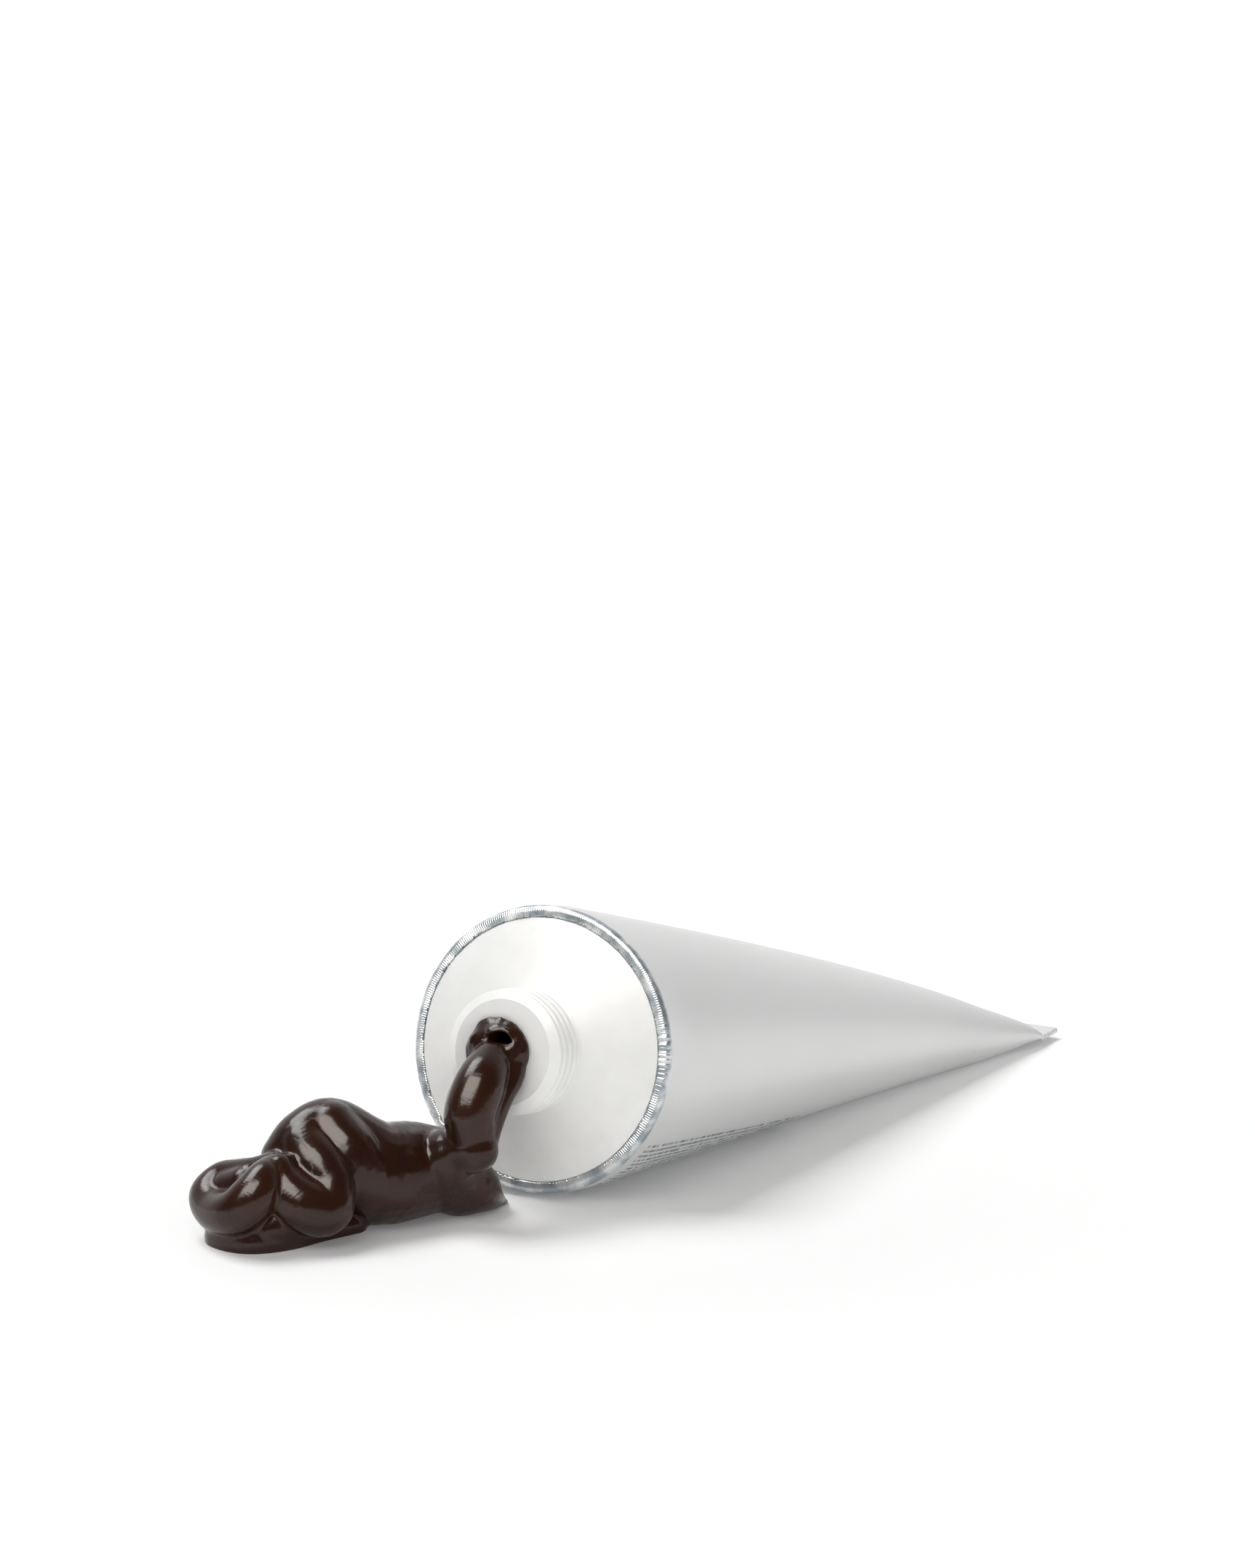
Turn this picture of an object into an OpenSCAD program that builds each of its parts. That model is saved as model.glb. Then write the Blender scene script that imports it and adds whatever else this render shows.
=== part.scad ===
// Leather cream tube, lying on its belly, with cream squeezed out of its open neck.
// X runs from the neck to the tail, Z is up, and the floor is at z = 0.
// The origin lies on the flat of the belly, where it becomes straight behind the shoulder.

/* [Sleeve] */
// Outer radius of the round end of the sleeve
sleeve_r = 20; // [16:0.5:25]
// Length of the sleeve from its front edge to the seal
sleeve_len = 105; // [85:1:140]
// Thickness of the laminate
wall = 0.45; // [0.3:0.05:0.6]
// Power of the back's line from the round end to the seal: 1 is a plain wedge, less is fuller
fullness = 0.57; // [0.5:0.01:1]
// Length over which the belly bends from the round end into its straight line
belly_bend = 4; // [2:0.5:8]
// Depth that the soft belly gives where it lies on the floor
belly_flat = 0.3; // [0.15:0.05:0.5]

/* [Lip] */
// Width of the laminate that is folded in over the shoulder
lip_width = 1.6; // [1.2:0.1:2.4]
// Radius of the bend at the outer edge of the lip
lip_bend = 0.8; // [0.7:0.1:1.1]

/* [Tail] */
// Length of the pressed seal past the end of the filled part
seal_len = 5; // [4:0.5:8]
// Distance between the ribs pressed into the seal
rib_pitch = 1; // [0.8:0.1:1.6]
// Depth of the ribs on each face
rib_depth = 0.12; // [0.05:0.01:0.2]
// Height of the seal's lower face above the floor
seal_lift = 0.8; // [0.3:0.1:2]

/* [Shoulder] */
// Height of the cone from the lip to the foot of the neck
cone_rise = 4; // [3:0.1:8]
// Thickness of the moulded shoulder
shoulder_wall = 1.2; // [0.8:0.1:1.6]
// Depth of the skirt that is welded inside the sleeve
skirt_depth = 2.5; // [2:0.1:5]
// Thickness of the skirt
skirt_wall = 1; // [0.8:0.1:1.4]

/* [Neck] */
// Radius of the neck between the threads
neck_r = 8; // [7.5:0.1:9]
// Length of the neck above the cone
neck_len = 6.9; // [5:0.1:10]
// How far the beads at the foot and at the mouth stand out
bead_out = 0.65; // [0.5:0.05:1]
// Width of each bead along the neck
bead_width = 0.4; // [0.3:0.05:0.8]
// Width of the sloping edge between the mouth's bead and its flat face
mouth_slope = 1.3; // [0.8:0.1:1.8]
// Depth of that sloping edge along the neck
mouth_drop = 0.7; // [0.4:0.1:1.2]
// Thickness of the neck's wall
neck_wall = 1.3; // [1:0.1:1.8]
// Radius of the outlet in the face of the neck
outlet_r = 4.2; // [3:0.1:5]
// Thickness of the face of the neck
face_wall = 1.2; // [0.8:0.1:1.8]

/* [Cream] */
// Diameter of the strand of cream
strand_d = 8; // [6.4:0.2:9]
// Radius of the roll of cream round the outlet
collar_roll = 1.5; // [1:0.1:1.9]

/* [Hidden] */

// Clearances: the weld line and the lip's edge are a hair wide, the cream keeps clear of walls
weld_gap = 0.05;
lip_gap = 0.1;
cream_gap = 0.3;

// Straight run of the sleeve behind the skirt, and how far before the seal the hollow of the
// sleeve and the fill end
skirt_run = 0.5;
hollow_end = 1.5;
fill_end = 3;

// Half of the least height of the sleeve's hollow and of the fill, where both run out flat
hollow_thin = 0.05;
fill_thin = 0.1;

// The sleeve stays round over the skirt, and tapers from there to the seal.
// It lies on its belly, so its axis tilts by the slope of the belly's line.
round_len = wall + skirt_depth + skirt_run;
taper_len = sleeve_len - round_len;
belly_slope = sleeve_r / (taper_len - belly_bend / 2);
tilt = atan(belly_slope);

// The tail bends up from the floor over its last stretch and leaves it level
tail_rise = belly_flat + seal_lift + wall;
rise_run = 2 * tail_rise / belly_slope;

// Sides of the lofted rings, and the stations along the sleeve and the fill
sleeve_sides = 64;
fill_sides = 36;
outer_steps = 12;
inner_steps = 6;
rise_steps = 5;
bend_steps = 3;

// Shoulder radii and heights, counted forward from the front of the lip
land_r = sleeve_r - lip_width - lip_gap;
rim_slope = 0.9;
skirt_r = sleeve_r - wall - weld_gap;
bead_r = neck_r + bead_out;
bore_r = neck_r - neck_wall;
mouth_h = cone_rise + neck_len;

// Lines of the back and the belly beside the tube's axis at distance u behind the lip
function taper(u) = max(0, min(1, (u - round_len) / taper_len));
function rise(u) = u < sleeve_len - rise_run ? 0 :
    u < sleeve_len ? tail_rise * pow((u - sleeve_len + rise_run) / rise_run, 2) :
    tail_rise + (u - sleeve_len) * belly_slope;
function bent(w) = w < 0 ? 0 : w < belly_bend ? w * w / (2 * belly_bend) : w - belly_bend / 2;
function back_z(u) = sleeve_r * pow(1 - taper(u), fullness) + rise(u);
function belly_z(u) = -sleeve_r + belly_slope * bent(min(u, sleeve_len) - round_len) + rise(u);
function floor_z(u) = -sleeve_r + belly_flat + (u - round_len - belly_bend / 2) * belly_slope;

// Where the middle of the lip and the middle of the neck's face lie in the room
straight_u = round_len + belly_bend;
lip_x = -straight_u * cos(tilt) - floor_z(straight_u) * sin(tilt);
lip_z = -floor_z(0) * cos(tilt);
mouth_x = lip_x - mouth_h * cos(tilt);
mouth_z = lip_z + mouth_h * sin(tilt);

// Half of the flat between the two round sides of a ring whose half height is b:
// what the sides lose in girth the flat takes up, because the laminate doesn't stretch
function flat_half(b) = PI / 2 * (sleeve_r - b);

// One ring of the sleeve at u, drawn in by inset and never thinner than thin
least_height = 0.001;
function ring(u, inset, thin, sides = sleeve_sides) =
    let (b = max((back_z(u) - belly_z(u)) / 2, least_height),
         mid = (back_z(u) + belly_z(u)) / 2,
         half = flat_half(b) + b)
    [for (i = [0 : sides - 1])
        let (a = 360 * i / sides,
             side = sin(a) < 0 ? -1 : 1,
             out = min(1, max(0, half * abs(cos(a)) - flat_half(b)) / b),
             lens = max(b - inset, 0) * sqrt(1 - out * out),
             pressed = thin * min(1, 4 * abs(sin(a))),
             z = mid + side * max(lens, pressed))
        [u, (half - inset) * cos(a), max(z, floor_z(u) + inset)]];

// Stations behind the skirt: the bend of the belly, its straight run, and its rise to the end,
// where they draw closer together
rise_u = sleeve_len - rise_run;
function stations(end, steps) = concat([round_len, round_len + belly_bend / 2],
    [for (j = [0 : steps]) straight_u + (rise_u - straight_u) * j / steps],
    [for (j = [1 : rise_steps]) end - (end - rise_u) * pow(1 - j / rise_steps, 2)]);

// One round ring of the fill at u
function round_ring(u, r) =
    [for (i = [0 : fill_sides - 1])
        [u, r * cos(360 * i / fill_sides), r * sin(360 * i / fill_sides)]];

// Closed skin through a list of rings, with a flat cap at each end
module skin(rings) {
    n = len(rings[0]);
    m = len(rings);
    sides = [for (j = [0 : m - 2], i = [0 : n - 1])
        let (k = (i + 1) % n)
        each [[j * n + i, (j + 1) * n + i, (j + 1) * n + k],
              [j * n + i, (j + 1) * n + k, j * n + k]]];
    caps = [[for (i = [0 : n - 1]) i],
            [for (i = [n - 1 : -1 : 0]) (m - 1) * n + i]];
    polyhedron(points = [for (r = rings) each r], faces = concat(sides, caps), convexity = 6);
}

// Lays a piece that is drawn on the tube's own axis down on its belly
module lying() {
    translate([lip_x, 0, lip_z]) rotate([0, tilt, 0]) children();
}

// Turns a profile of radius and distance from the lip round the tube's axis
module turned(profile) {
    rotate([0, 90, 0]) rotate_extrude($fn = 96) polygon(profile);
}

// Laminate sleeve: one sheet, folded in over the shoulder and pressed flat at the tail
module tube_sleeve() {
    ribs = floor(seal_len / rib_pitch);
    inside = stations(sleeve_len - hollow_end, inner_steps);
    inner = [for (j = [len(inside) - 1 : -1 : 0]) ring(inside[j], wall, hollow_thin)];
    fold = [for (inset = [wall, lip_width]) ring(wall, inset, 0)];
    edge = [ring(0, lip_width, 0)];
    bend = [for (j = [0 : bend_steps])
        let (a = 90 * j / bend_steps)
        ring(lip_bend * (1 - cos(a)), lip_bend * (1 - sin(a)), 0)];
    outer = [for (u = stations(sleeve_len, outer_steps)) ring(u, 0, wall)];
    seal = [for (j = [0 : ribs - 1], s = [0.5, 1])
        ring(sleeve_len + rib_pitch * (j + s), 0, wall - (s == 1 ? 0 : rib_depth))];
    color("gainsboro") lying() skin(concat(inner, fold, edge, bend, outer, seal));
}

// Moulded shoulder: rim and skirt in the sleeve, cone, bead, neck and outlet
module shoulder() {
    color("white") lying() turned([
        [outlet_r, -mouth_h],
        [bead_r - mouth_slope, -mouth_h],
        [bead_r, -mouth_h + mouth_drop],
        [bead_r, -mouth_h + mouth_drop + bead_width],
        [neck_r, -mouth_h + mouth_drop + 2 * bead_width],
        [neck_r, -cone_rise - bead_width],
        [bead_r, -cone_rise],
        [land_r - rim_slope, -rim_slope / 2],
        [land_r, 0],
        [land_r, wall],
        [skirt_r, wall],
        [skirt_r, wall + skirt_depth],
        [skirt_r - skirt_wall, wall + skirt_depth],
        [skirt_r - skirt_wall, wall + shoulder_wall],
        [bore_r, -cone_rise + shoulder_wall],
        [bore_r, -mouth_h + face_wall],
        [outlet_r, -mouth_h + face_wall]]);
}

// Runs of the rope of cream as balls of [behind the neck's face, to the side, height, radius],
// drawn for a strand 8 mm wide: the landing under the neck, the barrel and the arch,
// the right loop, the left loop, the foot and the first folds behind them
strand_drawn = 8;
fold_size = strand_d / strand_drawn;
fold_top = 11 * fold_size;
fold_room = 60 * fold_size;
neck_room = 5;
landing = [[-8.5, -0.5, 11.8, 3], [-8.3, 2, 11.7, 2.8], [-7.5, 4.8, 8.3, 4.6],
    [-4.4, 5.2, 5, 5.1], [-2.1, 3.3, 3.2, 3.3], [-0.2, 2, 1.7, 1.8], [2.2, 1.4, 0.6, 0.8],
    [3.4, 1.3, 0.2, 0.4]];
barrel = [[-4.5, 8.2, 6, 5.9], [-9, 10.6, 6.7, 6.8], [-11.8, 13, 7, 6.6],
    [-13.5, 14.1, 10.4, 4.8], [-17, 17.3, 13.8, 4.2], [-20.3, 19.4, 12.8, 4.1],
    [-22.3, 20.9, 10.3, 3.8]];
right_loop = [[-22, 18.4, 11.3, 2.8], [-22.5, 15, 10.5, 3.1], [-23.6, 12.8, 8, 3.3],
    [-25.1, 13.5, 5.2, 3.9], [-27.5, 15.9, 6.2, 3.9], [-27.7, 18.4, 8.6, 2.9],
    [-27.3, 19.8, 10.4, 2.1]];
left_loop = [[-26.6, 20.6, 10.6, 1.9], [-28, 23.3, 9.1, 2.1], [-26.9, 25.5, 8.3, 2],
    [-26.5, 29, 7.2, 2.5], [-28.9, 29.3, 5.2, 2.8], [-31.6, 25.8, 4.5, 3],
    [-32.8, 21.6, 6.1, 3.2], [-31.2, 20.8, 8.2, 2.4]];
foot = [[-28.5, 28.5, 1, 3], [-31, 25.5, 1, 3.2], [-31, 22, 1, 3.2], [-27.5, 18.5, 1, 3],
    [-22.5, 16.5, 1, 2.8], [-16.5, 13.5, 1, 2.8]];
first_folds = [[-5.5, 8.5, 4.5, 4.6], [-9, 12.5, 5, 5], [-13, 17, 5.5, 5.5],
    [-18, 21.5, 5, 5], [-23, 25, 4, 4]];
runs = [landing, barrel, right_loop, left_loop, foot, first_folds];

// Strands that hang from the outlet, [behind the neck's face, to the side, height, radius],
// where height runs from 0 at the top of the landing to 1 at the outlet
main_strand = [[-2.5, -0.3, 1, 3.3], [-3.7, -1.2, 0.95, 3.7], [-6.5, -0.3, 0.74, 4],
    [-8.5, 0, 0.47, 4], [-9, 0, 0.24, 3.8]];
side_strand = [[-2.8, -1.6, 0.88, 2.2], [-3.9, -2.3, 0.52, 2.4], [-6, -1.8, 0.18, 2.4],
    [-7.2, -0.9, 0.04, 2.3]];

// Rope of balls joined one to the next
module rope(balls) {
    for (i = [0 : len(balls) - 2])
        hull() {
            for (p = [balls[i], balls[i + 1]])
                translate([p[0], p[1], p[2]]) sphere(r = p[3], $fn = 16);
        }
}

// Cream: the plug in the neck and the fill of the tube, in one run of rings,
// then the roll round the outlet, the strand and its folds
module cream() {
    plug_r = outlet_r - cream_gap;
    throat_r = bore_r - cream_gap;
    rim_r = skirt_r - skirt_wall - cream_gap;
    cone_u = wall + shoulder_wall + cream_gap;
    face_u = -mouth_h + face_wall + cream_gap;
    back_u = wall + skirt_depth + cream_gap;
    fill_inset = wall + cream_gap;
    plug = [round_ring(-mouth_h - collar_roll, plug_r), round_ring(face_u, plug_r),
        round_ring(face_u, throat_r), round_ring(-cone_rise + shoulder_wall, throat_r),
        round_ring(cone_u, rim_r), round_ring(back_u, rim_r)];
    fill = [for (u = concat([back_u], stations(sleeve_len - fill_end, inner_steps)))
        ring(u, fill_inset, fill_thin, fill_sides)];
    color("saddlebrown") union() {
        lying() {
            skin(concat(plug, fill));
            translate([-mouth_h - collar_roll, 0, 0]) rotate([0, 90, 0])
                rotate_extrude($fn = 32)
                    translate([outlet_r, 0]) circle(r = collar_roll, $fn = 16);
        }
        intersection() {
            union() {
                for (strand = [main_strand, side_strand])
                    rope([for (p = strand) [mouth_x + p[0] * fold_size, p[1] * fold_size,
                        fold_top + (mouth_z - fold_top) * p[2], p[3] * fold_size]]);
                for (run = runs)
                    translate([mouth_x, 0, 0]) scale(fold_size) rope(run);
            }
            translate([mouth_x - fold_room, -fold_room, 0])
                cube([fold_room + neck_room, 2 * fold_room, fold_room]);
        }
    }
}

tube_sleeve();
shoulder();
cream();
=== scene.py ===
# %% [markdown]
# # A leather cream tube and the cream that was squeezed from it
# A full laminate tube lies on its belly, and brown cream has run from its open neck into a
# folded heap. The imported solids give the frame: the sleeve, the moulded shoulder and the cream.
# This lesson dresses them one by one, in metres, in the frame of the solids. Sizes are written
# in millimetres, as a tube maker would give them, and turned into metres at the end.

# %% Load the frame
import math
import bpy
import bmesh
from mathutils import Matrix, Vector, noise
from mathutils.kdtree import KDTree


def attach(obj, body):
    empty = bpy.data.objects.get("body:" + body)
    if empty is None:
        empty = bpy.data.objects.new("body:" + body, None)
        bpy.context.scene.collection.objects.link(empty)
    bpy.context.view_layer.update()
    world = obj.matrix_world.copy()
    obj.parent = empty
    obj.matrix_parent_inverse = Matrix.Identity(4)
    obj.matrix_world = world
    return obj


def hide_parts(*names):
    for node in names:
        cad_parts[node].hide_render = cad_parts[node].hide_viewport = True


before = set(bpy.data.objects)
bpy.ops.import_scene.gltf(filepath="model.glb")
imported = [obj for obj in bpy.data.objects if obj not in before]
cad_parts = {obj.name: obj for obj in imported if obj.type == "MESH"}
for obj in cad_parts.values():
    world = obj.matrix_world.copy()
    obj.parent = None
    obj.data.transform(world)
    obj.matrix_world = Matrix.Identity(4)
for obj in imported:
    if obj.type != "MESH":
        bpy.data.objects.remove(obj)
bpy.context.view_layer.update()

MM = 0.001
ML = 1e-6  # one millilitre in cubic metres
BODY = "root"

# %% [markdown]
# ## The camera
# The photograph was taken with a long lens from a little above the table, so the tube's end
# looks almost round and its far tail is small. A camera could be aimed by eye, but here its
# place was worked out from the ellipses of the neck and the outline of the sleeve. The frame
# is taller than wide, so the lens is measured on the sensor's height.

# %% Camera
AIM = Vector((16.5, -3.233, 54.464)) * MM
CAMERA_AZIMUTH = math.radians(27.761)
CAMERA_HEIGHT_ANGLE = math.radians(12.564)
CAMERA_DISTANCE = 800 * MM
SENSOR_HEIGHT = 36
LENS = 131.15

towards_camera = Vector((-math.cos(CAMERA_AZIMUTH) * math.cos(CAMERA_HEIGHT_ANGLE),
                         -math.sin(CAMERA_AZIMUTH) * math.cos(CAMERA_HEIGHT_ANGLE),
                         math.sin(CAMERA_HEIGHT_ANGLE)))
camera_data = bpy.data.cameras.new("camera")
camera_data.sensor_fit = "VERTICAL"
camera_data.sensor_height = SENSOR_HEIGHT
camera_data.lens = LENS
camera_data.clip_start = 0.05
camera_data.clip_end = 20
camera = bpy.data.objects.new("camera", camera_data)
camera.location = AIM + towards_camera * CAMERA_DISTANCE
camera.rotation_euler = (-towards_camera).to_track_quat("-Z", "Y").to_euler()
bpy.context.collection.objects.link(camera)
bpy.context.scene.camera = camera
bpy.context.scene.view_settings.view_transform = "Standard"
print("camera at", tuple(round(c, 3) for c in camera.location))

# %% [markdown]
# ## Colours and nodes
# Colours are written as the hex values that a screen shows. The shader works on light itself,
# so one function turns them into linear numbers. A second small function adds a node with its
# settings and its links, which keeps each material readable from top to bottom.


# %% Colour and node helpers
def linear(hex_colour):
    """A screen colour as the linear numbers that the shader takes."""
    parts = [int(hex_colour[i:i + 2], 16) / 255 for i in (1, 3, 5)]
    light = [p / 12.92 if p <= 0.04045 else ((p + 0.055) / 1.055) ** 2.4 for p in parts]
    return (*light, 1.0)


def add(tree, kind, inputs=None, stops=(), **settings):
    """A node with its settings, its inputs as links or values, and a ramp's colour stops."""
    node = tree.nodes.new(kind)
    for name, value in settings.items():
        setattr(node, name, value)
    for name, value in (inputs or {}).items():
        socket = node.inputs[name]
        if isinstance(value, bpy.types.NodeSocket):
            tree.links.new(value, socket)
        else:
            socket.default_value = value
    for k, (place, colour) in enumerate(stops):
        elements = node.color_ramp.elements
        element = elements[k] if k < len(elements) else elements.new(place)
        element.position = place
        element.color = colour if isinstance(colour, tuple) else (colour, colour, colour, 1)
    return node


def new_material(name):
    """A material with an empty node tree, and that tree."""
    material = bpy.data.materials.new(name)
    material.use_nodes = True
    material.node_tree.nodes.clear()
    return material, material.node_tree


print("helpers ready")

# %% [markdown]
# ## The studio
# The tube lies on a white sweep under soft light. The camera sees the world as plain white,
# but the light that the world gives off is dim and comes mostly from low down, so that the
# lamps can model the form. Reflections see a third thing: a room that is bright behind the
# tube and dark behind the camera, because that dark is what makes a glossy paste look wet.
#
# One large soft lamp stands to the left above the neck. Its mirror image in glossy things is
# a second lamp, a little nearer, so that the highlight can be bright where the light is mild.
# A back light draws the upper edge, and a low fill keeps the near side readable. The paper
# itself is lifted to white where only the camera and reflections see it: little near the
# tube, where its shadow has to stay, and fully far away.

# %% Floor, world and lamps
FLOOR_SIZE = 6.0
FLOOR_LIFT = 0.07
LIFT_FROM, LIFT_TO = 0.05, 0.8
LAMP_AIM = Vector((-0.01, 0.0, 0.015))
floor_mesh = bpy.data.meshes.new("floor")
shape = bmesh.new()
bmesh.ops.create_grid(shape, x_segments=2, y_segments=2, size=FLOOR_SIZE / 2)
shape.to_mesh(floor_mesh)
shape.free()
floor = bpy.data.objects.new("floor", floor_mesh)
bpy.context.collection.objects.link(floor)

floor_paper, tree = new_material("white_paper_sweep")
rays = add(tree, "ShaderNodeLightPath")
direct = add(tree, "ShaderNodeMath", {0: rays.outputs["Is Camera Ray"],
                                      1: rays.outputs["Is Glossy Ray"]}, operation="MAXIMUM")
on_floor = add(tree, "ShaderNodeTexCoord")
far = add(tree, "ShaderNodeVectorMath", {0: on_floor.outputs["Object"]}, operation="LENGTH")
lift = add(tree, "ShaderNodeMapRange", {"Value": far.outputs["Value"], "From Min": LIFT_FROM,
                                        "From Max": LIFT_TO, "To Min": FLOOR_LIFT,
                                        "To Max": 1.0})
lifted = add(tree, "ShaderNodeMath", {0: direct.outputs["Value"], 1: lift.outputs["Result"]},
             operation="MULTIPLY")
fibre = add(tree, "ShaderNodeTexNoise", {"Scale": 700.0, "Detail": 2.0,
                                         "Vector": on_floor.outputs["Object"]})
tone = add(tree, "ShaderNodeValToRGB", {"Fac": fibre.outputs["Fac"]},
           stops=[(0.3, linear("#f9f9f9")), (0.7, linear("#fbfbfb"))])
paper = add(tree, "ShaderNodeBsdfPrincipled",
            {"Base Color": tone.outputs["Color"], "Roughness": 0.6, "Specular IOR Level": 0.2,
             "Emission Color": (1, 1, 1, 1), "Emission Strength": lifted.outputs["Value"]})
add(tree, "ShaderNodeOutputMaterial", {"Surface": paper.outputs["BSDF"]})
floor_mesh.materials.append(floor_paper)

world = bpy.data.worlds.new("studio")
bpy.context.scene.world = world
world.use_nodes = True
tree = world.node_tree
tree.nodes.clear()
rays = add(tree, "ShaderNodeLightPath")
place = add(tree, "ShaderNodeTexCoord")
# What reflections see: 0 looks back past the camera, 1 looks away from it, behind the tube
away = add(tree, "ShaderNodeVectorMath", {0: place.outputs["Generated"],
                                          1: tuple(-towards_camera)}, operation="DOT_PRODUCT")
turned = add(tree, "ShaderNodeMapRange", {"Value": away.outputs["Value"],
                                          "From Min": -1.0, "From Max": 1.0})
room = add(tree, "ShaderNodeValToRGB", {"Fac": turned.outputs["Result"]},
           stops=[(0.0, 0.03), (0.45, 0.06), (0.62, 0.5), (0.8, 1.0)])
# What lights the tube: walls that are brightest at the height of the table
upwards = add(tree, "ShaderNodeSeparateXYZ", {"Vector": place.outputs["Generated"]})
walls = add(tree, "ShaderNodeValToRGB", {"Fac": upwards.outputs["Z"]},
            stops=[(0.0, 0.5), (0.35, 0.3), (0.9, 0.12)])
mirrored = add(tree, "ShaderNodeMix", {"Factor": rays.outputs["Is Glossy Ray"],
                                       "A": walls.outputs["Color"],
                                       "B": room.outputs["Color"]}, data_type="RGBA")
seen = add(tree, "ShaderNodeMix", {"Factor": rays.outputs["Is Camera Ray"],
                                   "A": mirrored.outputs["Result"],
                                   "B": (1, 1, 1, 1)}, data_type="RGBA")
light = add(tree, "ShaderNodeBackground", {"Color": seen.outputs["Result"], "Strength": 1.0})
add(tree, "ShaderNodeOutputWorld", {"Surface": light.outputs["Background"]})


def soft_lamp(name, direction, distance, size, watts, colour, mirrored_only=None):
    """A large lamp that faces the neck. It lights and mirrors, or does only one of the two."""
    data = bpy.data.lights.new(name, "AREA")
    data.shape = "RECTANGLE"
    data.size, data.size_y = size
    data.energy = watts
    data.color = colour
    lamp = bpy.data.objects.new(name, data)
    lamp.location = LAMP_AIM + Vector(direction).normalized() * distance
    lamp.rotation_euler = (LAMP_AIM - lamp.location).to_track_quat("-Z", "Y").to_euler()
    if mirrored_only is not None:
        lamp.visible_diffuse = not mirrored_only
        lamp.visible_glossy = mirrored_only
    lamp.visible_camera = False
    bpy.context.collection.objects.link(lamp)


TOWARDS_KEY = (-1.0, 0.04, 1.19)
KEY_SIZE = (1.2, 0.95)
soft_lamp("key_light", TOWARDS_KEY, 1.4, KEY_SIZE, 5.0, (1.0, 0.99, 0.98), False)
soft_lamp("key_reflection", TOWARDS_KEY, 1.3, KEY_SIZE, 31.0, (1.0, 0.95, 0.88), True)
soft_lamp("back_light", (0.1, 1.0, 1.8), 1.5, (0.9, 0.7), 16.0, (1.0, 1.0, 1.0))
soft_lamp("low_fill", (-0.35, -1.0, 0.13), 1.5, (1.4, 0.3), 6.0, (1.0, 1.0, 1.0), False)
print("studio ready")

# %% [markdown]
# ## The sheet that the sleeve is rolled from
# A laminate tube is one flat sheet, rolled and lap-welded along its side, welded round the
# shoulder at one end and pressed flat at the other. The sheet bends but doesn't stretch, so
# every cut across the sleeve has the same girth: it starts as a circle and ends as a flat
# line, and between them it is two half circles joined by two flats. The same few lines as in
# the solids give the back, the belly and the rise at the tail, so the skin fits the solid.
#
# On the tube's own axes u runs from the lip to the tail, y to the side and z upwards. The
# neck lies at negative u.

# %% Lines of the back and the belly
SLEEVE_R = 20.0
SLEEVE_LEN = 105.0
WALL = 0.45
FULLNESS = 0.57
BELLY_BEND = 4.0
BELLY_FLAT = 0.3
LIP_WIDTH = 1.6
LIP_BEND = 0.8
SEAL_LEN = 5.0
RIB_PITCH = 1.0
RIB_DEPTH = 0.12
SEAL_LIFT = 0.8
SKIRT_DEPTH = 2.5
SKIRT_RUN = 0.5
CONE_RISE = 4.0
NECK_R = 8.0
NECK_LEN = 6.9
GIRTH = 2 * math.pi * SLEEVE_R

round_len = WALL + SKIRT_DEPTH + SKIRT_RUN
taper_len = SLEEVE_LEN - round_len
belly_slope = SLEEVE_R / (taper_len - BELLY_BEND / 2)
tilt = math.atan(belly_slope)
tail_rise = BELLY_FLAT + SEAL_LIFT + WALL
rise_run = 2 * tail_rise / belly_slope
rise_start = SLEEVE_LEN - rise_run
straight_u = round_len + BELLY_BEND
mouth_h = CONE_RISE + NECK_LEN


def taper(u):
    """0 where the sleeve is still round, 1 at the seal."""
    return max(0.0, min(1.0, (u - round_len) / taper_len))


def rise(u):
    """How far the tail curls up from the line that the belly lies on."""
    if u < rise_start:
        return 0.0
    if u < SLEEVE_LEN:
        return tail_rise * ((u - rise_start) / rise_run) ** 2
    return tail_rise + (u - SLEEVE_LEN) * belly_slope


def bent(w):
    """A straight line that sets in with a bend instead of a kink."""
    if w < 0:
        return 0.0
    return w * w / (2 * BELLY_BEND) if w < BELLY_BEND else w - BELLY_BEND / 2


def back_line(u):
    return SLEEVE_R * (1 - taper(u)) ** FULLNESS + rise(u)


def belly_line(u):
    return -SLEEVE_R + belly_slope * bent(min(u, SLEEVE_LEN) - round_len) + rise(u)


def floor_line(u):
    """The floor, seen from the tube's own axes. It cuts the belly flat."""
    return -SLEEVE_R + BELLY_FLAT + (u - round_len - BELLY_BEND / 2) * belly_slope


lip_x = -straight_u * math.cos(tilt) - floor_line(straight_u) * math.sin(tilt)
lip_z = -floor_line(0) * math.cos(tilt)


def lying(u, y, z):
    """A point on the tube's own axes, in millimetres, as a place in the room in metres."""
    x = u * math.cos(tilt) + z * math.sin(tilt) + lip_x
    up = -u * math.sin(tilt) + z * math.cos(tilt) + lip_z
    return Vector((x, y, up)) * MM


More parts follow.
